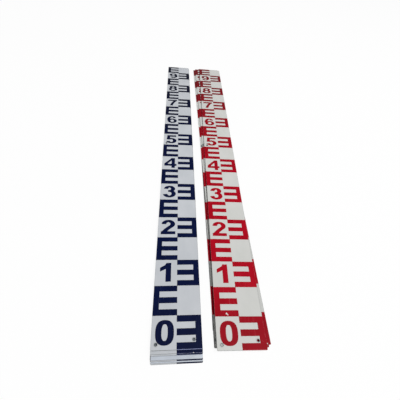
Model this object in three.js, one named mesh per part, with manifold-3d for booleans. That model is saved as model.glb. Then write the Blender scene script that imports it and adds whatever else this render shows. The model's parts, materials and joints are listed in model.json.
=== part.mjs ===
import * as THREE from 'three';
import { mergeVertices } from 'three/addons/utils/BufferGeometryUtils.js';
import Module from 'manifold-3d';

// Two loose stacks of flat staff gauge boards lying side by side, one stack marked blue and one marked red.
// Millimetres. X runs across the boards, Y along them from the 0 end, and Z is up.

// Sizes of one board
const boardLength = 1000;
const boardWidth = 80;
const plateThickness = 1.5;
const filmThickness = 0.25;
const markThickness = 0.125;
const cornerRadius = 1.5;

// Air that burrs and film edges leave between two boards
const stackGap = 0.25;

// Fixing holes: two near the 0 end and one just past the middle
const holeDiameter = 4.5;
const edgeHoleInset = 8;
const edgeHoleFromEnd = 8;
const innerHoleInset = 13;
const innerHoleFromEnd = 13.5;
const middleHoleFromMiddle = 7;

// Graduation: every decimetre has a numeral and two comb marks of three bars
const graduation = 10;
const graduationsPerCell = 5;
const spineWidth = 10;
const combOverlap = 0.5;

// Numerals: their box and its place in the cell
const numeralWidth = 29.5;
const numeralHeight = 37;
const numeralInset = 6.2;
const numeralLift = 6.3;

// Widths of the numerals' strokes: stems stand upright, and the other strokes lie across them
const stemWidth = 9.8;
const boldStrokeWidth = 6.5;
const bowlStrokeWidth = 5.9;
const slimStemWidth = 8.6;
const slimStrokeWidth = 5.7;
const flatBarWidth = 7;

// How much higher a flat foot stands than the round ones, and how far the 1 reaches above the others
const flatFootLift = 1.2;
const riseOfOne = 0.6;

// How far the bar of the 4 reaches past the numeral's box on both sides
const overhangOfFour = 0.7;

// Numeral shapes, as shares of the numeral's width or height
const lowBowlTopShare = 0.625;
const highBowlFootShare = 0.462;
const highBowlInsetShare = 0.055;
const stemOfOneShare = 0.605;
const flagTipShare = 0.081;
const flagTopShare = 0.757;
const flagBottomShare = 0.554;
const flagKneeAcrossShare = 0.383;
const flagKneeUpShare = 0.897;
const flagRootShare = 0.481;
const flagMeetsStemShare = 0.685;
const bowlOfTwoFootShare = 0.427;
const bowlOfTwoInsetShare = 0.02;
const slopeOfTwoAcrossShare = 0.373;
const slopeOfTwoUpShare = 0.37;
const barOfThreeShare = 0.397;
const stemOfFourShare = 0.739;
const barOfFourShare = 0.296;
const shoulderOfFourShare = 0.43;
const counterOfFourShare = 0.24;
const peakOfCounterShare = 0.745;
const topOfFiveShare = 0.27;
const footOfStemOfFiveShare = 0.2;
const waistOfFiveShare = 0.465;
const endOfFiveShare = 0.95;
const bowlOfFiveTopShare = 0.65;
const bowlOfSixInsetShare = 0.05;
const footOfSevenShare = 0.37;
const bendOfSevenShare = 0.46;

// How square the 0 is: 2 is an ellipse, and more is squarer
const squarenessOfZero = 2.6;

// Angles in degrees where the open bowls and hooks stop, anticlockwise from the right
const highBowlEnd = 182;
const lowBowlEnd = 172;
const bowlEndOfFive = 166;
const neckOfTwo = -40;
const shoulderOfFive = 134;
const hookStart = 195;
const hookEnd = 33;

// How coarse the round shapes are
const cornerSteps = 2;
const holeSides = 10;
const ringSides = 32;
const bowlSteps = 14;

// How far the trimming sheet reaches past the marks, above and below
const trimReach = 1;

// Where the red stack's top board lies from the blue stack's, from near left corner to near left corner
const redAcross = 102.2;
const redAlong = -3.6;
const redTurn = -1.27;

// Each board from the bottom up: shift of its near left corner across and along the stack in millimetres,
// turn about that corner in degrees, and whether it lies face down
const blueBoards = [
  { across: 0.6, along: -16.5, turn: 0.02, faceDown: false },
  { across: 0.5, along: -14.8, turn: 0.01, faceDown: true },
  { across: 0.4, along: -13.3, turn: 0.02, faceDown: false },
  { across: 0.2, along: -11.7, turn: 0, faceDown: true },
  { across: 0.3, along: -6.5, turn: 0.02, faceDown: false },
  { across: 0.2, along: -4.5, turn: -0.08, faceDown: false },
  { across: 0, along: 0, turn: 0, faceDown: false },
];
const redBoards = [
  { across: -3.4, along: 31.3, turn: -0.1, faceDown: false },
  { across: -2.8, along: 5.6, turn: 0.72, faceDown: false },
  { across: 2, along: 3, turn: 0.6, faceDown: false },
  { across: 5.1, along: 2.6, turn: 1.68, faceDown: false },
  { across: 8.1, along: 6.2, turn: 1.45, faceDown: false },
  { across: 0.3, along: 0.9, turn: 0.05, faceDown: false },
  { across: 0, along: 0, turn: 0, faceDown: false },
];

// Values that follow from the sizes
const boardThickness = plateThickness + filmThickness;
const boardPitch = boardThickness + stackGap;
const columnWidth = boardWidth / 2;
const cellLength = graduation * graduationsPerCell;
const decimetre = 2 * cellLength;
const decimetreCount = Math.floor(boardLength / decimetre);
const boldPen = { across: stemWidth, along: boldStrokeWidth };
const bowlPen = { across: stemWidth, along: bowlStrokeWidth };
const slimPen = { across: slimStemWidth, along: slimStrokeWidth };

const wasm = await Module();
wasm.setup();

const aluminium = new THREE.MeshStandardMaterial({ color: 0xa6a9ab, metalness: 1, roughness: 0.42 });
const whiteFilm = new THREE.MeshStandardMaterial({ color: 0xd5d8da, metalness: 0, roughness: 0.35 });
const blueFilm = new THREE.MeshStandardMaterial({ color: 0x171c48, metalness: 0, roughness: 0.35 });
const redFilm = new THREE.MeshStandardMaterial({ color: 0xc01226, metalness: 0, roughness: 0.35 });

// A flat closed solid between two heights, from an outline and its holes
function slab(outline, holes, low, high) {
  const shape = new THREE.Shape(outline);
  shape.holes = holes.map((hole) => new THREE.Path(hole));
  const solid = new THREE.ExtrudeGeometry(shape, { depth: 1, bevelEnabled: false });
  const place = solid.getAttribute('position');
  for (let i = 0; i < place.count; i += 1) {
    place.setZ(i, place.getZ(i) > 0 ? high : low);
  }
  solid.deleteAttribute('normal');
  solid.deleteAttribute('uv');
  const closed = mergeVertices(solid);
  closed.computeVertexNormals();
  return closed;
}

function toManifold(geometry) {
  return new wasm.Manifold(new wasm.Mesh({
    numProp: 3,
    vertProperties: new Float32Array(geometry.getAttribute('position').array),
    triVerts: new Uint32Array(geometry.getIndex().array),
  }));
}

function fromManifold(solid) {
  const mesh = solid.getMesh();
  const geometry = new THREE.BufferGeometry();
  geometry.setAttribute('position', new THREE.BufferAttribute(mesh.vertProperties, 3));
  geometry.setIndex(new THREE.BufferAttribute(mesh.triVerts, 1));
  geometry.computeVertexNormals();
  return geometry;
}

// One body from several that overlap, trimmed to the board's outline and its holes
function joinOnBoard(pieces, low, high) {
  const whole = pieces.map(toManifold).reduce((sum, next) => sum.add(next));
  const trim = toManifold(sheet(low - trimReach, high + trimReach, false));
  return fromManifold(whole.intersect(trim));
}

function onEllipse(centreX, centreY, radiusX, radiusY, degrees) {
  const angle = THREE.MathUtils.degToRad(degrees);
  return new THREE.Vector2(centreX + radiusX * Math.cos(angle), centreY + radiusY * Math.sin(angle));
}

// Points along an ellipse from one angle to another, both ends included
function bowl(centreX, centreY, radiusX, radiusY, from, to, steps = bowlSteps) {
  return Array.from({ length: steps + 1 }, (_, i) => {
    return onEllipse(centreX, centreY, radiusX, radiusY, from + ((to - from) * i) / steps);
  });
}

// Points all round an ellipse, or round a squarer shape where squareness is over 2
function ring(centreX, centreY, radiusX, radiusY, sides = ringSides, squareness = 2) {
  const circle = bowl(0, 0, 1, 1, 0, 360, sides).slice(0, sides);
  return circle.map(({ x, y }) => {
    const across = Math.sign(x) * Math.abs(x) ** (2 / squareness);
    const along = Math.sign(y) * Math.abs(y) ** (2 / squareness);
    return new THREE.Vector2(centreX + radiusX * across, centreY + radiusY * along);
  });
}

// The board's outline with small round corners, anticlockwise
function boardOutline() {
  const right = boardWidth - cornerRadius;
  const far = boardLength - cornerRadius;
  const corners = [[right, cornerRadius], [right, far], [cornerRadius, far], [cornerRadius, cornerRadius]];
  return corners.flatMap(([x, y], i) => {
    return bowl(x, y, cornerRadius, cornerRadius, 90 * (i - 1), 90 * i, cornerSteps);
  });
}

function holeCentres() {
  return [
    [edgeHoleInset, edgeHoleFromEnd],
    [boardWidth - innerHoleInset, innerHoleFromEnd],
    [edgeHoleInset, boardLength / 2 + middleHoleFromMiddle],
  ];
}

// One layer of a board with its holes, which swap sides on a board that lies face down
function sheet(low, high, faceDown) {
  const holes = holeCentres().map(([x, y]) => {
    return ring(faceDown ? boardWidth - x : x, y, holeDiameter / 2, holeDiameter / 2, holeSides);
  });
  return slab(boardOutline(), holes, low, high);
}

// From a stroke's middle line to its left edge, for a pen with an upright elliptical nib
function nibOffset(pen, direction) {
  const across = pen.across * -direction.y;
  const along = pen.along * direction.x;
  const reach = 2 * Math.hypot(across, along);
  return new THREE.Vector2((pen.across * across) / reach, (pen.along * along) / reach);
}

// Centre and radii of a pen's middle line round a bowl whose outer edge fills a box
function bowlIn(pen, low, high) {
  return [
    (low.x + high.x) / 2,
    (low.y + high.y) / 2,
    (high.x - low.x - pen.across) / 2,
    (high.y - low.y - pen.along) / 2,
  ];
}

function directionAt(points, i, closed) {
  const count = points.length;
  const before = points[closed ? (i + count - 1) % count : Math.max(i - 1, 0)];
  const after = points[closed ? (i + 1) % count : Math.min(i + 1, count - 1)];
  return after.clone().sub(before).normalize();
}

// One stroke of a pen along a middle line that is open or closed on itself, or a filled outline
function stroke({ pen, closed, points }, low, high) {
  if (!pen) {
    return slab(points, [], low, high);
  }
  const offsets = points.map((_, i) => nibOffset(pen, directionAt(points, i, closed)));
  const left = points.map((point, i) => point.clone().add(offsets[i]));
  const right = points.map((point, i) => point.clone().sub(offsets[i]));
  if (closed) {
    return slab(right, [left], low, high);
  }
  return slab([...right, ...left.reverse()], [], low, high);
}

// Strokes of the numerals 0 to 9, from the lower left corner of the numeral's box: middle lines for
// the pens, and outlines for the straight bars, the 1 and a part of the 4
function numeralLines() {
  const at = (x, y) => new THREE.Vector2(x, y);
  const inBox = (x, y) => at(numeralWidth * x, numeralHeight * y);
  const line = (pen, ...points) => ({ pen, points });
  const loop = (pen, points) => ({ pen, closed: true, points });
  const filled = (...points) => ({ points });
  const box = (low, high) => filled(low, at(high.x, low.y), high, at(low.x, high.y));

  const start = inBox(0, 0);
  const end = inBox(1, 1);
  const halfBar = flatBarWidth / 2;
  const topOfFoot = flatFootLift + flatBarWidth;
  const flatMiddle = flatFootLift + halfBar;
  const undersideOfTopBar = numeralHeight - flatBarWidth;

  const leftOfOne = numeralWidth * stemOfOneShare - stemWidth / 2;
  const rightOfOne = leftOfOne + stemWidth;
  const topOfOne = numeralHeight + riseOfOne;
  const rootOfFlag = numeralWidth * flagRootShare;

  const bowlOfTwo = bowlIn(
    bowlPen,
    inBox(bowlOfTwoInsetShare, bowlOfTwoFootShare),
    inBox(1 - bowlOfTwoInsetShare, 1),
  );
  const slopeOfTwo = new THREE.QuadraticBezierCurve(
    onEllipse(...bowlOfTwo, neckOfTwo),
    inBox(slopeOfTwoAcrossShare, slopeOfTwoUpShare),
    at(stemWidth / 2, flatMiddle),
  );

  const highCorner = inBox(highBowlInsetShare, highBowlFootShare);
  const highEnd = inBox(1 - highBowlInsetShare, 1);
  const lowEnd = inBox(1, lowBowlTopShare);
  const footOfHighBowl = highCorner.y + bowlStrokeWidth / 2;

  const stemOfFour = numeralWidth * stemOfFourShare;
  const leftOfFour = stemOfFour - slimStemWidth / 2;
  const rightOfFour = stemOfFour + slimStemWidth / 2;
  const barOfFour = numeralHeight * barOfFourShare;
  const topOfBar = barOfFour + halfBar;
  const counterOfFour = numeralWidth * counterOfFourShare;
  const peakOfCounter = numeralHeight * peakOfCounterShare;

  const topOfFive = inBox(topOfFiveShare, 1);
  const leftOfFive = topOfFive.x - slimStemWidth / 2;
  const endOfFive = inBox(1, bowlOfFiveTopShare);

  const six = [
    loop(slimPen, ring(...bowlIn(slimPen, inBox(bowlOfSixInsetShare, 0), lowEnd))),
    line(slimPen, ...bowl(...bowlIn(slimPen, start, end), hookStart, hookEnd)),
  ];
  const nine = six.map((part) => {
    return { ...part, points: part.points.map((point) => end.clone().sub(point)) };
  });
  const stemOfSeven = new THREE.QuadraticBezierCurve(
    at(numeralWidth - slimStemWidth / 2, numeralHeight - halfBar),
    inBox(bendOfSevenShare, 1 / 2),
    at(numeralWidth * footOfSevenShare, flatFootLift),
  );
  return [
    [loop(boldPen, ring(...bowlIn(boldPen, start, end), ringSides, squarenessOfZero))],
    [
      filled(
        at(rightOfOne, flatFootLift),
        at(rightOfOne, topOfOne),
        at(rootOfFlag, topOfOne),
        inBox(flagKneeAcrossShare, flagKneeUpShare),
        inBox(flagTipShare, flagTopShare),
        inBox(flagTipShare, flagBottomShare),
        at(leftOfOne, numeralHeight * flagMeetsStemShare),
        at(leftOfOne, flatFootLift),
      ),
    ],
    [
      line(
        bowlPen,
        ...bowl(...bowlOfTwo, highBowlEnd, neckOfTwo),
        ...slopeOfTwo.getPoints(bowlSteps).slice(1),
      ),
      box(at(0, flatFootLift), at(numeralWidth, topOfFoot)),
    ],
    [
      line(
        bowlPen,
        ...bowl(...bowlIn(bowlPen, highCorner, highEnd), highBowlEnd, -90),
        at(numeralWidth * barOfThreeShare, footOfHighBowl),
      ),
      line(bowlPen, ...bowl(...bowlIn(bowlPen, start, lowEnd), 90, -lowBowlEnd)),
    ],
    [
      box(at(leftOfFour, 0), at(rightOfFour, numeralHeight)),
      box(at(-overhangOfFour, barOfFour - halfBar), at(numeralWidth + overhangOfFour, topOfBar)),
      filled(
        at(-overhangOfFour, barOfFour),
        at(counterOfFour, barOfFour),
        at(counterOfFour, topOfBar),
        at(leftOfFour, peakOfCounter),
        at(stemOfFour, peakOfCounter),
        at(stemOfFour, numeralHeight),
        at(leftOfFour, numeralHeight),
        at(-overhangOfFour, numeralHeight * shoulderOfFourShare),
      ),
    ],
    [
      box(at(leftOfFive, undersideOfTopBar), inBox(endOfFiveShare, 1)),
      line(slimPen, topOfFive, inBox(footOfStemOfFiveShare, waistOfFiveShare)),
      line(bowlPen, ...bowl(...bowlIn(bowlPen, start, endOfFive), shoulderOfFive, -bowlEndOfFive)),
    ],
    six,
    [
      box(at(0, undersideOfTopBar), end),
      line(slimPen, ...stemOfSeven.getPoints(bowlSteps)),
    ],
    [
      loop(slimPen, ring(...bowlIn(slimPen, start, lowEnd))),
      loop(slimPen, ring(...bowlIn(slimPen, highCorner, highEnd))),
    ],
    nine,
  ];
}

// The numeral of one decimetre, in the board's own place, starting again at 0 after every metre
function numeral(number, low, high) {
  const place = new THREE.Vector2(numeralInset, number * decimetre + numeralLift);
  const lines = numeralLines();
  const strokes = lines[number % lines.length].map((part) => stroke(part, low, high));
  strokes.forEach((part) => part.translate(place.x, place.y, 0));
  return joinOnBoard(strokes, low, high);
}

function bar(left, right, start, end, low, high) {
  const corners = [[left, start], [right, start], [right, end], [left, end]];
  return slab(corners.map(([x, y]) => new THREE.Vector2(x, y)), [], low, high);
}

// Three bars on a spine, whose inner ends reach a little past the middle line on the left,
// so that the corners of all the combs hold together
function comb(start, spineOnRight, low, high) {
  const left = spineOnRight ? columnWidth : 0;
  const right = spineOnRight ? boardWidth : columnWidth + combOverlap;
  const spineLeft = spineOnRight ? boardWidth - spineWidth : 0;
  const pieces = [bar(spineLeft, spineLeft + spineWidth, start, start + cellLength, low, high)];
  for (let i = 0; i < graduationsPerCell; i += 2) {
    const barStart = start + i * graduation;
    pieces.push(bar(left, right, barStart, barStart + graduation, low, high));
  }
  return pieces;
}

// All the comb marks of a board in one body
function combs(low, high) {
  const pieces = [];
  for (let i = 0; i < decimetreCount; i += 1) {
    pieces.push(...comb(i * decimetre, true, low, high));
    pieces.push(...comb(i * decimetre + cellLength, false, low, high));
  }
  return joinOnBoard(pieces, low, high);
}

function named(name, geometry, material) {
  const mesh = new THREE.Mesh(geometry, material);
  mesh.name = name;
  return mesh;
}

// A plate with its white film, from the board's near left corner
function blankBoard(colour, number, faceDown) {
  const seam = faceDown ? filmThickness : plateThickness;
  const lower = sheet(0, seam, faceDown);
  const upper = sheet(seam, boardThickness, faceDown);
  return [
    named(`${colour}_plate_${number}`, faceDown ? upper : lower, aluminium),
    named(`${colour}_face_${number}`, faceDown ? lower : upper, whiteFilm),
  ];
}

// The cut colour film on the face of a stack's top board
function marks(colour, material) {
  const low = boardThickness;
  const high = low + markThickness;
  const numerals = Array.from({ length: decimetreCount }, (_, number) => {
    return named(`${colour}_numeral_${number}`, numeral(number, low, high), material);
  });
  return [named(`${colour}_combs`, combs(low, high), material), ...numerals];
}

function stack(colour, boards, material) {
  const group = new THREE.Group();
  boards.forEach(({ across, along, turn, faceDown }, i) => {
    const board = new THREE.Group();
    board.position.set(across, along, i * boardPitch);
    board.rotation.z = THREE.MathUtils.degToRad(turn);
    board.add(...blankBoard(colour, i + 1, faceDown));
    if (i === boards.length - 1) {
      board.add(...marks(colour, material));
    }
    group.add(board);
  });
  return group;
}

const blueStack = stack('blue', blueBoards, blueFilm);
const redStack = stack('red', redBoards, redFilm);
redStack.position.set(redAcross, redAlong, 0);
redStack.rotation.z = THREE.MathUtils.degToRad(redTurn);

const boardSet = new THREE.Group();
boardSet.add(blueStack, redStack);

// The origin lies under the middle of the whole set
const middle = new THREE.Box3().setFromObject(boardSet, true).getCenter(new THREE.Vector3());
boardSet.position.set(-middle.x, -middle.y, 0);

export default boardSet;
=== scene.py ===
import json
import math

import bpy
import numpy as np
from mathutils import Matrix, Vector

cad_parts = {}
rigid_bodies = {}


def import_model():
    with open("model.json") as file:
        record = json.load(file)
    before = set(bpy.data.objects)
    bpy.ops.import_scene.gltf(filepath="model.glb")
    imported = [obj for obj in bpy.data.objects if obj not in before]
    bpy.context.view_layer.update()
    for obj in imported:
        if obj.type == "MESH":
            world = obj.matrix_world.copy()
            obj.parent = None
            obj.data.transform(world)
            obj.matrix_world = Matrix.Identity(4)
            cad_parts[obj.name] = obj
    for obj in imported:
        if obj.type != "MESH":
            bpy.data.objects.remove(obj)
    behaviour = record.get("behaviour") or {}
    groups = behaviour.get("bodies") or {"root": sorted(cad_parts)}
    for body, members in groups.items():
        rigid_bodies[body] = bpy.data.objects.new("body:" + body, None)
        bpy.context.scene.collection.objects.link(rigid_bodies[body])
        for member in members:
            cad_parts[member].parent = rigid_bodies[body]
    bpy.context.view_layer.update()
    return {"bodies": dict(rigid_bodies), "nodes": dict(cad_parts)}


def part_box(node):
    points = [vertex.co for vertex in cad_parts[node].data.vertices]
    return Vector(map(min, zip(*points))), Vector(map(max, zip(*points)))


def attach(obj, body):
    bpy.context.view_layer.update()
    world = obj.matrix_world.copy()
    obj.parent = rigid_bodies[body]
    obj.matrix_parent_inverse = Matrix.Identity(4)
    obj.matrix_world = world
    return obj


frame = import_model()

# Two loose stacks of staff gauge boards. Each board is a coated sheet with white film on its face and marks
# of coloured film on that. Blender works in metres, and mm turns a size in millimetres into them.
mm = 0.001

# The stacks from left to right, how many boards each has, and how many numerals a board has
colours = ("blue", "red")
board_count = sum(name.startswith("blue_board_") for name in frame["bodies"])
numeral_count = 10

# A board's size, how near its ends its corners lie, and within what distance two vertices are one
board_width = 80 * mm
board_length = 1000 * mm
corner_reach = 4 * mm
weld_distance = 0.002 * mm

# The fixing holes: their radius, and their places from a board's near left corner
hole_radius = 2.25 * mm
holes = np.array(((8, 8), (67, 13.5), (8, 507))) * mm

# The photograph's view: the camera's place from the middle of the blue stack's near end; its turn to the
# right, down and over, in degrees; and its focal length and the photograph's width, both in pixels
camera_from_near_end = Vector((-5.54, -79.79, 446.23)) * mm
camera_heading = 8.484
camera_pitch = 49.283
camera_roll = 7.326
focal_pixels = 256.57
image_pixels = 400
sensor_mm = 36
nearest_seen = 10 * mm

# The walls end and the ceiling starts at these sines of the height over the horizon, and the ceiling is
# this bright
wall_top = math.sin(math.radians(4))
ceiling_edge = math.sin(math.radians(22))
ceiling_level = 0.3

# The lamp. Its watts are set so that walls, ceiling and lamp add up to one on a level face.
lamp_place = Vector((1.2, -0.8, 4.3))
lamp_side = 1.3
lamp_watts = 134

# The floor: half its side, how far it lies under the boards, its paper, and how much of the paper's own
# white is seen in place of its lit and shaded white
floor_half = 6.0
floor_drop = 0.05 * mm
floor_white = "fafafa"
floor_lift = 0.93

# Settings of the two nodes that come most often: a smooth step between two levels, and a mix of two colours
smooth = {"interpolation_type": "SMOOTHSTEP"}
tint = {"data_type": "RGBA"}


def linear(code):
    """A colour for the shader from its sRGB hex code."""
    parts = [int(code[i:i + 2], 16) / 255 for i in (0, 2, 4)]
    return tuple(p / 12.92 if p <= 0.04045 else ((p + 0.055) / 1.055) ** 2.4 for p in parts) + (1,)


def fill(tree, made, inputs):
    """Sets a node's inputs or links them to other nodes: by name, or in order over those that its settings
    leave on. A node among the values stands for its first output that is on."""
    if isinstance(inputs, dict):
        pairs = [(made.inputs[name], value) for name, value in inputs.items()]
    else:
        pairs = zip([socket for socket in made.inputs if socket.enabled], inputs)
    for socket, value in pairs:
        if isinstance(value, bpy.types.Node):
            value = next(output for output in value.outputs if output.enabled)
        if isinstance(value, bpy.types.NodeSocket):
            tree.links.new(value, socket)
        else:
            socket.default_value = value


def node(tree, kind, inputs=(), **settings):
    """Adds a node with its settings and inputs."""
    made = tree.nodes.new("ShaderNode" + kind)
    for name, value in settings.items():
        setattr(made, name, value)
    fill(tree, made, inputs)
    return made


def view_axes(heading, pitch, roll):
    """A camera's right, up and ahead for a heading from +Y, a pitch down and a roll, in radians: ahead
    comes from the heading and pitch, and right and up are turned about it by the roll."""
    forward = Vector((math.sin(heading), math.cos(heading), 0))
    level = Vector((math.cos(heading), -math.sin(heading), 0))
    ahead = math.cos(pitch) * forward - Vector((0, 0, math.sin(pitch)))
    above = level.cross(ahead)
    right = math.cos(roll) * level + math.sin(roll) * above
    up = math.cos(roll) * above - math.sin(roll) * level
    return right, up, ahead


def add_camera(board):
    """Stands over a board's near end and looks along the board."""
    near_end = board.corner + board.across * board_width / 2
    near_end = Vector((*near_end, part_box(f"{board.colour}_combs")[1].z))
    right, up, ahead = view_axes(*(math.radians(a) for a in (camera_heading, camera_pitch, camera_roll)))
    camera = bpy.data.objects.new("camera", bpy.data.cameras.new("camera"))
    bpy.context.scene.collection.objects.link(camera)
    place = Matrix((right, up, -ahead)).transposed().to_4x4()
    place.translation = near_end + camera_from_near_end
    camera.matrix_world = place
    camera.data.sensor_width = sensor_mm
    camera.data.lens = focal_pixels * sensor_mm / image_pixels
    camera.data.clip_start = nearest_seen
    bpy.context.scene.camera = camera


def add_walls():
    """A white studio: even white walls all round that pass smoothly into a darker ceiling."""
    world = bpy.data.worlds.new("studio")
    world.use_nodes = True
    tree = world.node_tree
    direction = node(tree, "TexCoord").outputs["Generated"]
    height = node(tree, "SeparateXYZ", (direction,)).outputs["Z"]
    level = node(tree, "MapRange", (height, wall_top, ceiling_edge, 1, ceiling_level), **smooth)
    fill(tree, tree.nodes["Background"], {"Color": (1, 1, 1, 1), "Strength": level})
    bpy.context.scene.world = world


def add_lamp():
    """One soft square lamp, high up and slightly to the right, turned to the stacks."""
    lamp = bpy.data.lights.new("softbox", "AREA")
    lamp.shape = "SQUARE"
    lamp.size = lamp_side
    lamp.energy = lamp_watts
    softbox = bpy.data.objects.new("softbox", lamp)
    turned = (-lamp_place).to_track_quat("-Z", "Y").to_matrix().to_4x4()
    softbox.matrix_world = Matrix.Translation(lamp_place) @ turned
    bpy.context.scene.collection.objects.link(softbox)


def white_paper():
    """Matt white paper with a light shadow, which camera, mirrors and glass see mostly as an even white."""
    paper = bpy.data.materials.new("white table top")
    paper.use_nodes = True
    tree = paper.node_tree
    tree.nodes.clear()
    path = node(tree, "LightPath").outputs
    seen = node(tree, "Math", (path["Is Camera Ray"], path["Is Glossy Ray"]), operation="MAXIMUM")
    seen = node(tree, "Math", (seen, path["Is Transmission Ray"]), operation="MAXIMUM")
    lift = node(tree, "Math", (seen, floor_lift), operation="MULTIPLY")
    matt = node(tree, "BsdfDiffuse", {"Color": linear(floor_white)})
    glow = node(tree, "Emission", {"Color": (1, 1, 1, 1), "Strength": 1})
    mixed = node(tree, "MixShader", (lift, matt, glow))
    node(tree, "OutputMaterial", {"Surface": mixed})
    return paper


def add_floor():
    """A square table top just under the boards."""
    mesh = bpy.data.meshes.new("floor")
    square = np.array(((-1, -1, 0), (1, -1, 0), (1, 1, 0), (-1, 1, 0)))
    corners = square * floor_half - np.array((0, 0, floor_drop))
    mesh.from_pydata(corners.tolist(), [], [(0, 1, 2, 3)])
    mesh.materials.append(white_paper())
    floor = bpy.data.objects.new("floor", mesh)
    bpy.context.scene.collection.objects.link(floor)


def points_of(obj):
    """All vertices of a mesh object as an array of rows."""
    points = np.empty(len(obj.data.vertices) * 3)
    obj.data.vertices.foreach_get("co", points)
    return points.reshape(-1, 3)


def welded(obj):
    """Vertices and triangles of a mesh with the vertices that share a place made one."""
    points = points_of(obj)
    obj.data.calc_loop_triangles()
    corners = np.empty(len(obj.data.loop_triangles) * 3, int)
    obj.data.loop_triangles.foreach_get("vertices", corners)
    places = np.round(points / weld_distance).astype(int)
    _, first, index = np.unique(places, axis=0, return_index=True, return_inverse=True)
    return points[first], index.reshape(-1)[corners].reshape(-1, 3)


def mark_names(colour):
    """The nodes of the coloured film on a stack's top board."""
    return [f"{colour}_combs"] + [f"{colour}_numeral_{n}" for n in range(numeral_count)]


class Board:
    """Where one board lies: its near left corner, its turn, and its height, all from its CAD nodes."""

    def __init__(self, colour, number):
        self.colour = colour
        self.number = number
        self.body = f"{colour}_board_{number}"
        self.plate = f"{colour}_plate_{number}"
        self.face = f"{colour}_face_{number}"
        points, _ = welded(frame["nodes"][self.plate])
        ends = points[:, 1].min(), points[:, 1].max()
        near = points[points[:, 1] < ends[0] + corner_reach].mean(0)[:2]
        far = points[points[:, 1] > ends[1] - corner_reach].mean(0)[:2]
        along = (far - near) / np.linalg.norm(far - near)
        self.turn = math.atan2(-along[0], along[1])
        self.across = np.array((along[1], -along[0]))
        self.along = along
        self.corner = (near + far) / 2 - self.across * board_width / 2 - along * board_length / 2
        plate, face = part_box(self.plate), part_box(self.face)
        self.face_down = face[0].z < plate[0].z
        self.low = min(plate[0].z, face[0].z)
        self.high = max(plate[1].z, face[1].z)

    def to_board(self, points):
        """Row frame to board: across, along, and height over the board's underside."""
        flat = points[:, :2] - self.corner
        return np.column_stack((flat @ self.across, flat @ self.along, points[:, 2] - self.low))

    def to_row(self, points):
        """Board to row frame. A face-down board is turned over about its long middle line."""
        u, v, z = points.T
        if self.face_down:
            u, z = board_width - u, self.high - self.low - z
        flat = self.corner + np.outer(u, self.across) + np.outer(v, self.along)
        return np.column_stack((flat, self.low + z))


# Patterns: how wide their blobs are in millimetres, across, along and up; their detail and roughness; and
# their place in the noise. The film's skin and grain, the scuffs and the shear lines are finer on a real
# board, and are drawn as coarse as they need to be to show.
patterns = {
    "white clouds": ((28, 45, 20), 3, 0.6, 0),
    "white grain": ((1.1, 1.1, 1.1), 2, 0.5, 1),
    "white edge": ((2.2, 2.2, 2), 3, 0.5, 4),
    "colour clouds": ((18, 30, 20), 3, 0.6, 0),
    "colour edge": ((1.8, 1.8, 2), 3, 0.5, 4),
    "colour rim": ((6, 3, 2), 2, 0.5, 11),
    "chips": ((2.4, 2.4, 2.4), 2, 0.5, 6),
    "torn edge": ((0.8, 0.8, 0.8), 2, 0.5, 13),
    "film skin": ((1.6, 1.6, 1.6), 1, 0.5, 2),
    "coat clouds": ((30, 60, 20), 3, 0.5, 0),
    "shear lines": ((0.35, 0.35, 4), 1, 0.5, 7),
    "drill rings": ((3, 3, 0.12), 1, 0.5, 8),
    "long scuffs": ((0.5, 60, 5), 1, 0.5, 3),
    "short scuffs": ((7, 0.45, 5), 1, 0.5, 9),
    "worn areas": ((35, 90, 20), 2, 0.5, 5),
    "left shade edge": ((2, 9, 2), 2, 0.5, 14),
}

# Patterns that are seen as patches: the levels of the noise between which a patch sets in
patch_levels = {
    "white clouds": (0.3, 0.7),
    "white grain": (0.35, 0.75),
    "colour clouds": (0.3, 0.7),
    "chips": (0.76, 0.79),
    "coat clouds": (0.3, 0.7),
    "shear lines": (0.3, 0.7),
    "long scuffs": (0.66, 0.74),
    "short scuffs": (0.70, 0.78),
    "worn areas": (0.45, 0.65),
}

# Patterns that make a border ragged: how far it wanders
border_reach = {
    "white edge": 0.7 * mm,
    "colour edge": 1.6 * mm,
    "colour rim": 0.4 * mm,
    "torn edge": 0.6 * mm,
    "shear lines": 0.5 * mm,
    "left shade edge": 0.8 * mm,
}

# How far apart in the noise the boards of a stack lie, and where each stack starts
board_step = 7.3
stack_start = {"blue": 0, "red": 40}

# Painted shade along the board's left edge, where the stack's side lies in shadow: its width in millimetres
# on the boards that have it, how far it fades, its share and its colour
left_shade_widths = {("red", 1): 1.4, ("red", 2): 1.4, ("blue", 3): 0.9, ("blue", 4): 1.1, ("blue", 5): 0.9}
left_shade_fade = 0.6 * mm
left_shade_share = 0.9
left_shade_colour = "303335"


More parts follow.
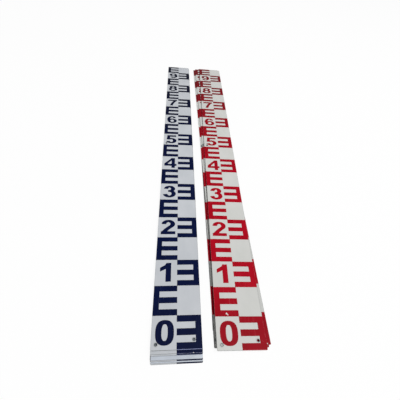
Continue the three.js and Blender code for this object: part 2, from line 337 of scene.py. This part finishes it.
class Surface:
    """A procedural material on one board. Its patterns lie in metres from the board's near left corner: u
    across the board, v along it, and z up from its underside."""

    def __init__(self, name, board):
        self.material = bpy.data.materials.new(name)
        self.material.use_nodes = True
        self.tree = self.material.node_tree
        self.shader = self.tree.nodes["Principled BSDF"]
        self.board = board
        place = node(self.tree, "TexCoord").outputs["Object"]
        corner = (*board.corner, board.low)
        self.place = node(self.tree, "Mapping", {
            "Vector": place, "Location": corner, "Rotation": (0, 0, board.turn),
        }, vector_type="TEXTURE")
        self.u, self.v, self.z = node(self.tree, "SeparateXYZ", (self.place,)).outputs

    def blobs(self, name):
        """A pattern's noise, from 0 to 1."""
        size, detail, rough, start = patterns[name]
        grain = [1 / (width * mm) for width in size]
        spread = node(self.tree, "Mapping", {"Vector": self.place, "Scale": grain})
        seed = stack_start[self.board.colour] + self.board.number * board_step + start
        return node(self.tree, "TexNoise", {
            "Vector": spread, "W": seed, "Scale": 1, "Detail": detail, "Roughness": rough,
        }, noise_dimensions="4D")

    def patches(self, name, low=0, high=1):
        """A pattern as patches of one value on another, with soft borders."""
        return node(self.tree, "MapRange", (self.blobs(name), *patch_levels[name], low, high), **smooth)

    def scuffs(self):
        """Hairline scuffs where boards have slid on one another: long ones lengthwise, short ones across."""
        both = self.patches("long scuffs"), self.patches("short scuffs")
        hairs = node(self.tree, "Math", both, operation="MAXIMUM")
        return node(self.tree, "Math", (hairs, self.patches("worn areas")), operation="MULTIPLY")

    def edge_distance(self):
        """Distance to the nearest edge of the board."""
        right = node(self.tree, "Math", (board_width, self.u), operation="SUBTRACT")
        far = node(self.tree, "Math", (board_length, self.v), operation="SUBTRACT")
        side = node(self.tree, "Math", (self.u, right), operation="MINIMUM")
        end = node(self.tree, "Math", (self.v, far), operation="MINIMUM")
        return node(self.tree, "Math", (side, end), operation="MINIMUM")

    def distance_to(self, u, v):
        """Distance over the board to one place on it."""
        flat = node(self.tree, "CombineXYZ", (self.u, self.v))
        return node(self.tree, "VectorMath", (flat, (u, v, 0)), operation="DISTANCE")

    def hole_distance(self):
        """Distance to the middle of the nearest hole."""
        nearest = board_length
        for u, v in holes:
            gap = self.distance_to(board_width - u if self.board.face_down else u, v)
            nearest = node(self.tree, "Math", (nearest, gap), operation="MINIMUM")
        return nearest

    def ragged(self, distance, name):
        """A distance with a pattern's noise added, so that a border drawn by it is ragged."""
        added = node(self.tree, "Math", (self.blobs(name), border_reach[name]), operation="MULTIPLY")
        return node(self.tree, "Math", (distance, added), operation="ADD")

    def bordered(self, colour, distance, border):
        """A colour with another one laid over it where the distance is small."""
        full, gone, share, code = border
        laid = node(self.tree, "MapRange", (distance, full, gone, share, 0), **smooth)
        return node(self.tree, "Mix", (laid, colour, linear(code)), **tint)

    def marked(self, colour, marks, share, code):
        """A colour with a share of another one laid over it in the marks."""
        laid = node(self.tree, "Math", (marks, share), operation="MULTIPLY")
        return node(self.tree, "Mix", (laid, colour, linear(code)), **tint)

    def with_left_shade(self, colour):
        """A colour with painted shade along the board's left edge, where the stack's side lies in shadow."""
        width = left_shade_widths.get((self.board.colour, self.board.number))
        if width is None:
            return colour
        border = (width * mm, width * mm + left_shade_fade, left_shade_share, left_shade_colour)
        return self.bordered(colour, self.ragged(self.u, "left shade edge"), border)

    def finish(self, inputs, relief, depth, strength):
        """Fills the shader's inputs, with a relief of one depth laid on."""
        bump = node(self.tree, "Bump", {"Height": relief, "Distance": depth, "Strength": strength})
        fill(self.tree, self.shader, {**inputs, "Normal": bump})
        return self.material


# Depth and strength of the skin that rolling leaves on all film
skin_depth = 0.015 * mm
skin_strength = 0.6


def finish_film(film, colour, clouds, scuffs, pits, gloss):
    """Finishes a film: roughness in clouds, duller in the scuffs, and the roller's skin with pits in it."""
    tree = film.tree
    dull = node(tree, "Math", (scuffs, gloss["scuffed"]), operation="MULTIPLY")
    rough = node(tree, "Math", (film.patches(clouds, *gloss["rough"]), dull), operation="ADD")
    sunk = node(tree, "Math", (pits, -gloss["sunk"]), operation="MULTIPLY")
    skin = node(tree, "Math", (film.blobs("film skin"), sunk), operation="ADD")
    inputs = {"Base Color": colour, "Roughness": rough, "Specular IOR Level": gloss["specular"]}
    return film.finish(inputs, skin, skin_depth, skin_strength)


# White film: its greyer and paler tone on each stack's boards. Painted shade darkens its near end: up to
# where it does so in full, where that ends, and how bright the film is at these two.
white_tones = {"blue": ("c3c7cc", "cbced3"), "red": ("cfd0cc", "d5d5d2")}
white_shade_span = (30 * mm, 350 * mm)
white_shade_levels = (0.935, 1.02)

# How much of the white film the grain and the scuffs take, and the colour of a scuff
white_grain = 0.35
white_scuffs = (0.45, "b3b5b4")

# The white film's roughness from cloud to cloud, what scuffs add to it, how deep they are sunk in the skin,
# and how strongly it mirrors
white_gloss = {"rough": (0.36, 0.46), "scuffed": 0.12, "sunk": 0.6, "specular": 0.25}

# Dirt on white film, and painted shade where a covered board is seen through the holes above it: how far from
# the edge or from a hole's middle it is full, how far it goes, its share and colour
cut_edge_dirt = (0.5 * mm, 1.1 * mm, 0.7, "8f9292")
open_hole_dirt = (hole_radius + 0.5 * mm, hole_radius + 2.6 * mm, 0.5, "a7a8a6")
covered_hole_shade = (hole_radius + 3.5 * mm, hole_radius + 7 * mm, 0.85, "4a5358")

# How far in from its near end a covered board starts to be covered
cover_start = (8 * mm, 11 * mm)


def with_hole_dirt_and_shade(film, white):
    """White film round its holes: a thin grey ring of dirt on the top board, and on a board under another a
    wide dark ring of painted shade seen through the hole above, but not on its end that sticks out."""
    if film.board.number == board_count:
        return film.bordered(white, film.hole_distance(), open_hole_dirt)
    full, gone, share, code = covered_hole_shade
    ring = node(film.tree, "MapRange", (film.hole_distance(), full, gone, share, 0), **smooth)
    covered = node(film.tree, "MapRange", (film.v, *cover_start), **smooth)
    return film.marked(white, ring, covered, code)


def satin_white_film(board):
    """White vinyl sheeting, calendered and laid on by roller: an even satin grey white with soft clouds of
    handling marks, hairline scuffs, a grey line where the cut edge has picked up dirt and a grey ring of dirt
    round the holes. Painted shade darkens its near end, and on some boards the left edge and the places seen
    through the holes of the board above."""
    film = Surface("satin white vinyl film", board)
    tree = film.tree
    grey, pale = (linear(code) for code in white_tones[board.colour])
    white = node(tree, "Mix", (film.patches("white clouds"), grey, pale), **tint)
    white = node(tree, "Mix", (film.patches("white grain", 0, white_grain), white, grey), **tint)
    # Painted shade: darker towards the near end
    level = node(tree, "MapRange", (film.v, *white_shade_span, *white_shade_levels), **smooth)
    white = node(tree, "Mix", (1, white, level), **tint, blend_type="MULTIPLY")
    scuffs = film.scuffs()
    white = film.marked(white, scuffs, *white_scuffs)
    white = film.bordered(white, film.ragged(film.edge_distance(), "white edge"), cut_edge_dirt)
    white = film.with_left_shade(white)
    white = with_hole_dirt_and_shade(film, white)
    return finish_film(film, white, "white clouds", scuffs, scuffs, white_gloss)


# Coloured film: its darker and deeper tone, what its rubbed places and its near rim turn to, and its name
film_tones = {
    "blue": ("071135", "09143b", "54587c", "b4bceb", "dark blue vinyl film"),
    "red": ("a3081b", "b00c22", "d87a82", "d87a82", "red vinyl film"),
}

# Painted shade darkens the coloured film's near end: up to where it does so in full, where that ends, and
# how bright the film is there
film_shade_span = (20 * mm, 110 * mm)
near_shade_level = {"blue": 0.85, "red": 0.75}

# Painted shade darkens the coloured film towards its far end: where it sets in, and how bright the film is
# at the end
far_shade_start = 300 * mm
far_shade_level = 0.42

# How far in a board's coloured film is rubbed at all its edges and along its near rim, in millimetres, and
# how much of that rim is pale: for the top board, the two below it, and the rest
rims = {0: (0.85, 0.6, 0.8), -1: (0.5, 0.3, 0.6), -2: (0.5, 0.3, 0.6), -3: (0.15, 0.1, 0.2)}
rub_fade = 0.15 * mm
rub_share = 0.75

# How much of the coloured film scuffs and chips take, the colour of a chip, and what lies under torn film
scuff_share = 0.3
bare_chips = (0.8, "c9c6c8")
torn_colour = "dcdad8"

# The coloured film's roughness from cloud to cloud, what scuffs add to it, how deep chips are sunk in the
# skin, and how strongly it mirrors
colour_gloss = {"rough": (0.34, 0.42), "scuffed": 0.1, "sunk": 1.5, "specular": 0.04}

# Places where a board's coloured film is torn away: across, along and radius in millimetres. From a spot's
# radius the tear fades between two steps further out.
torn_places = {
    ("red", 7): ((19.7, 54.9, 1.15), (19.2, 53.7, 0.6), (21.1, 53.6, 1.0), (22.0, 52.3, 0.7)),
    ("red", 5): ((74.4, 1.9, 0.8),),
    ("blue", 6): ((65.8, 0.5, 0.7),),
}
tear_fade = (0.25 * mm, 0.4 * mm)


def with_painted_shade(film, tone):
    """Coloured film darkened by painted shade at its near end and towards its far end, and that far shading.
    """
    near_shading = node(film.tree, "MapRange", (film.v, *film_shade_span, near_shade_level[film.board.colour], 1), **smooth)
    far_shading = node(film.tree, "MapRange", (film.v, far_shade_start, board_length, 1, far_shade_level), **smooth)
    tone = node(film.tree, "Mix", (1, tone, near_shading), **tint, blend_type="MULTIPLY")
    tone = node(film.tree, "Mix", (1, tone, far_shading), **tint, blend_type="MULTIPLY")
    return tone, far_shading


def with_rubbed_edges(film, tone):
    """Coloured film rubbed pale at the board's edges, and more so along the near rim."""
    _, _, pale, rim, _ = film_tones[film.board.colour]
    bared, rim_width, share = rims[max(film.board.number - board_count, min(rims))]
    edge = film.ragged(film.edge_distance(), "colour edge")
    tone = film.bordered(tone, edge, (bared * mm, bared * mm + rub_fade, rub_share, pale))
    near = film.ragged(film.v, "colour rim")
    return film.bordered(tone, near, (rim_width * mm, rim_width * mm + rub_fade, share, rim))


def with_tears(film, tone):
    """Coloured film with its torn places, each made of overlapping ragged spots."""
    spots = torn_places.get((film.board.colour, film.board.number))
    if spots is None:
        return tone
    torn = 0
    for u, v, radius in spots:
        gap = film.ragged(film.distance_to(u * mm, v * mm), "torn edge")
        full, gone = (radius * mm + step for step in tear_fade)
        spot = node(film.tree, "MapRange", (gap, full, gone, 1, 0), **smooth)
        torn = node(film.tree, "Math", (torn, spot), operation="MAXIMUM")
    return node(film.tree, "Mix", (torn, tone, linear(torn_colour)), **tint)


def cut_colour_film(board):
    """Coloured vinyl film cut by plotter: deep even colour, slightly cloudy, with painted shade at both ends,
    rubbed pale at the board's own edges and palest at the near end, with small chips down to the white."""
    dark, deep, pale, _, name = film_tones[board.colour]
    film = Surface(name, board)
    tree = film.tree
    tone = node(tree, "Mix", (film.patches("colour clouds"), linear(dark), linear(deep)), **tint)
    tone, far_shading = with_painted_shade(film, tone)
    scuffs = film.scuffs()
    tone = film.marked(tone, scuffs, node(tree, "Math", (far_shading, scuff_share), operation="MULTIPLY"), pale)
    tone = with_rubbed_edges(film, tone)
    chipped = film.patches("chips")
    tone = film.marked(tone, chipped, *bare_chips)
    tone = with_tears(film, tone)
    return finish_film(film, tone, "colour clouds", scuffs, chipped, colour_gloss)


# Sheet: the greyer and paler tone of its back coat on each stack's boards, and how much of it scuffs take
coat_tones = {"blue": ("b8bfc9", "c4cbd5"), "red": ("cfd1d0", "dadcdb")}
coat_scuffs = (0.7, "9b9d9e")

# Sheet: the darker and paler tone of its sheared long edges, their broken band, and the filed ends. The long
# edges and their broken band are dark as painted shade.
shaded_edge_tones = ("1b1d1f", "33373a")
shaded_broken_band = (0.6 * mm, 0.9 * mm, 0.55, "121416")
filed_ends = (0.85, "eef1f4")

# Sheet: how far scuffs go through the coat, how metallic bare metal is, its roughness, and how deep and
# strong the shear lines are
scratched_share = 0.6
bare_metallic = 0.9
sheet_rough = (0.42, 0.62)
shear_depth = 0.03 * mm
shear_strength = 0.7

# Dirt and painted contact shade at the foot of a board's ends, where it meets the board below: how high it
# stands in millimetres where it is more than a line, the height of that line, how it fades and its colour
dirt_and_shade_ends = {("blue", 7): 1.5, ("blue", 4): 1.8, ("blue", 2): 1.3}
dirt_and_shade_line = 0.4
dirt_and_shade_fade = 0.2 * mm
dirt_and_shade_colour = "24282c"

# A face counts as level, or as an end, as its normal leans from the first of these to the second
level_normal = (0.6, 0.8)
end_normal = (0.6, 0.9)


def facing(sheet, lean, between):
    """One on faces that look along an axis either way, zero on the others."""
    size = node(sheet.tree, "Math", (lean,), operation="ABSOLUTE")
    return node(sheet.tree, "MapRange", (size, *between), **smooth)


def coated_faces(sheet, scuffs):
    """The back coat: dull white with soft clouds and scratched grey, and on some boards painted shade
    along one edge.
    """
    grey, pale = (linear(code) for code in coat_tones[sheet.board.colour])
    coat = node(sheet.tree, "Mix", (sheet.patches("coat clouds"), grey, pale), **tint)
    return sheet.with_left_shade(sheet.marked(coat, scuffs, *coat_scuffs))


def sheared_edges(sheet, end):
    """Bare metal: upright shear lines over a broken band, both dark as painted shade, and bright ends with a
    foot of dirt and painted contact shade.
    """
    tree = sheet.tree
    dark, pale = (linear(code) for code in shaded_edge_tones)
    metal = node(tree, "Mix", (sheet.patches("shear lines"), dark, pale), **tint)
    metal = sheet.bordered(metal, sheet.ragged(sheet.z, "shear lines"), shaded_broken_band)
    metal = sheet.marked(metal, end, *filed_ends)
    top = dirt_and_shade_ends.get((sheet.board.colour, sheet.board.number), dirt_and_shade_line) * mm
    # Dirt and painted contact shade at the foot of the ends
    foot = node(tree, "MapRange", (sheet.z, top, top + dirt_and_shade_fade, 1, 0), **smooth)
    return sheet.marked(metal, end, foot, dirt_and_shade_colour)


def coated_sheet(board):
    """Aluminium sheet, sheared to size, with a thin white back coat: the large faces are dull white with
    scratches down to the metal. The long edges are bare metal with upright shear lines and a broken band,
    darkened as painted shade, and the ends are filed bright."""
    sheet = Surface("aluminium sheet with white back coat", board)
    tree = sheet.tree
    normal = node(tree, "NewGeometry").outputs["Normal"]
    lean = node(tree, "SeparateXYZ", (normal,)).outputs
    level = facing(sheet, lean["Z"], level_normal)
    end = facing(sheet, lean["Y"], end_normal)
    scuffs = sheet.scuffs()
    colour = node(tree, "Mix", (level, sheared_edges(sheet, end), coated_faces(sheet, scuffs)), **tint)
    scratched = node(tree, "Math", (scuffs, scratched_share), operation="MULTIPLY")
    coated = node(tree, "Math", (1, scratched), operation="SUBTRACT")
    coated = node(tree, "Math", (level, coated), operation="MULTIPLY")
    bare = node(tree, "Math", (1, coated), operation="SUBTRACT")
    metallic = node(tree, "Math", (bare, bare_metallic), operation="MULTIPLY")
    rough = sheet.patches("shear lines", *sheet_rough)
    inputs = {"Base Color": colour, "Metallic": metallic, "Roughness": rough}
    return sheet.finish(inputs, sheet.blobs("shear lines"), shear_depth, shear_strength)


# Drilled metal: its darker and paler tone, dark with oxide and with painted shade in the hole, how metallic
# and rough it is, and its rings' depth and strength
drilled_oxide_and_shade_tones = ("3f4446", "70767a")
drilled_metallic = 0.85
drilled_rough = 0.5
ring_depth = 0.03 * mm
ring_strength = 0.8


def drilled_edge(board):
    """Bare aluminium of a drilled hole: dull, with fine rings left by the drill, and dark with oxide and with
    painted shade in the hole.
    """
    bore = Surface("drilled aluminium", board)
    rings = bore.blobs("drill rings")
    dark, pale = (linear(code) for code in drilled_oxide_and_shade_tones)
    colour = node(bore.tree, "Mix", (rings, dark, pale), **tint)
    inputs = {"Base Color": colour, "Metallic": drilled_metallic, "Roughness": drilled_rough}
    return bore.finish(inputs, rings, ring_depth, ring_strength)


def add_piece(name, points, faces, board, material):
    """Adds a mesh in the row frame that rides on its board."""
    mesh = bpy.data.meshes.new(name)
    mesh.from_pydata(points.tolist(), [], faces.tolist())
    mesh.materials.append(material)
    piece = bpy.data.objects.new(name, mesh)
    bpy.context.scene.collection.objects.link(piece)
    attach(piece, board.body)


# The lower boards' marks are a little thinner, so that two faces that meet don't touch
lower_mark_share = 0.8


def add_lower_marks(board, top, material):
    """Marks of a board under the top one: the top board's combs and numerals, moved from board to board."""
    parts = [welded(frame["nodes"][name]) for name in mark_names(board.colour)]
    starts = np.cumsum([0] + [len(points) for points, _ in parts[:-1]])
    points = top.to_board(np.vstack([points for points, _ in parts]))
    faces = np.vstack([faces + start for (_, faces), start in zip(parts, starts)])
    thick = top.high - top.low
    points[:, 2] = thick + (points[:, 2] - thick) * lower_mark_share
    name = f"{board.colour}_marks_{board.number}"
    add_piece(name, board.to_row(points), faces, board, material)


# The sides of anything round
sides = 32

# The section of the burr round a hole, as steps out from the hole's wall and up from the board's face, and
# the height of the lining's foot
burr = np.array(((-0.16, 0.02), (-0.08, 0.05), (0.12, 0.05), (0.30, 0.02), (0.36, -0.02), (0.05, -0.05))) * mm
lining_foot = 0.01 * mm


def circle():
    """Points of a circle of radius one: the cosine and sine of equal steps of the angle."""
    angle = np.arange(sides) * 2 * np.pi / sides
    return np.column_stack((np.cos(angle), np.sin(angle)))


def lining_section(thick):
    """A lining's closed section as radius and height: the burr, with a foot straight below either end."""
    rim = burr + (hole_radius, thick)
    return np.vstack(((rim[0, 0], lining_foot), rim, (rim[-1, 0], lining_foot)))


def add_hole_linings(board, material):
    """The round walls of the holes with the small burr at the face: a closed section carried round each
    hole's middle, the circle's points times the section's radius."""
    section = lining_section(board.high - board.low)
    flat = holes[:, None, None, :] + circle()[None, :, None, :] * section[None, None, :, :1]
    height = np.broadcast_to(section[None, None, :, 1:], flat.shape[:3] + (1,))
    points = np.concatenate((flat, height), 3).reshape(-1, 3)
    hole, side, step = np.indices(flat.shape[:3])
    after, above = (side + 1) % sides, (step + 1) % len(section)
    corners = ((side, above), (after, above), (after, step), (side, step))
    faces = np.stack([(hole * sides + i) * len(section) + j for i, j in corners], -1).reshape(-1, 4)
    name = f"{board.colour}_hole_linings_{board.number}"
    add_piece(name, board.to_row(points), faces, board, material)


# The scrap of film in a hole: the heights of its faces, and the gap round it
flap_heights = (0.25 * mm, 0.4 * mm)
flap_gap = 0.05 * mm


def add_hole_flap(board, place, material):
    """A scrap of white film left across a hole when it was cut free, pushed down to the hole's foot: a thin
    disc, as points on a circle at two heights with a middle point in each face."""
    rim = circle() * (hole_radius - flap_gap) + place
    low, high = (np.column_stack((rim, np.full(sides, z))) for z in flap_heights)
    middles = [(*place, z) for z in flap_heights]
    this = np.arange(sides)
    after = (this + 1) % sides
    middle = np.full(sides, 2 * sides)
    bottom = np.column_stack((middle, after, this))
    top = np.column_stack((middle + 1, this + sides, after + sides))
    right = np.column_stack((this, after, after + sides))
    left = np.column_stack((this, after + sides, this + sides))
    points = board.to_row(np.vstack((low, high, middles)))
    name = f"{board.colour}_hole_flap"
    add_piece(name, points, np.vstack((bottom, top, right, left)), board, material)


def cover(name, material):
    """Gives a CAD node its material."""
    slots = frame["nodes"][name].data.materials
    slots.clear()
    slots.append(material)


def dress(board, top):
    """Gives a board's CAD nodes their materials, and adds its linings and, on a covered board, its marks."""
    film = cut_colour_film(board)
    cover(board.face, satin_white_film(board))
    cover(board.plate, coated_sheet(board))
    add_hole_linings(board, drilled_edge(board))
    if board is not top:
        add_lower_marks(board, top, film)
        return
    for name in mark_names(board.colour):
        cover(name, film)


boards = {colour: [Board(colour, n) for n in range(1, board_count + 1)] for colour in colours}
add_camera(boards["blue"][-1])
add_walls()
add_lamp()
add_floor()
for stack in boards.values():
    for board in stack:
        dress(board, stack[-1])
add_hole_flap(boards["red"][-1], holes[0], satin_white_film(boards["red"][-1]))

bpy.context.scene.view_settings.view_transform = "Standard"
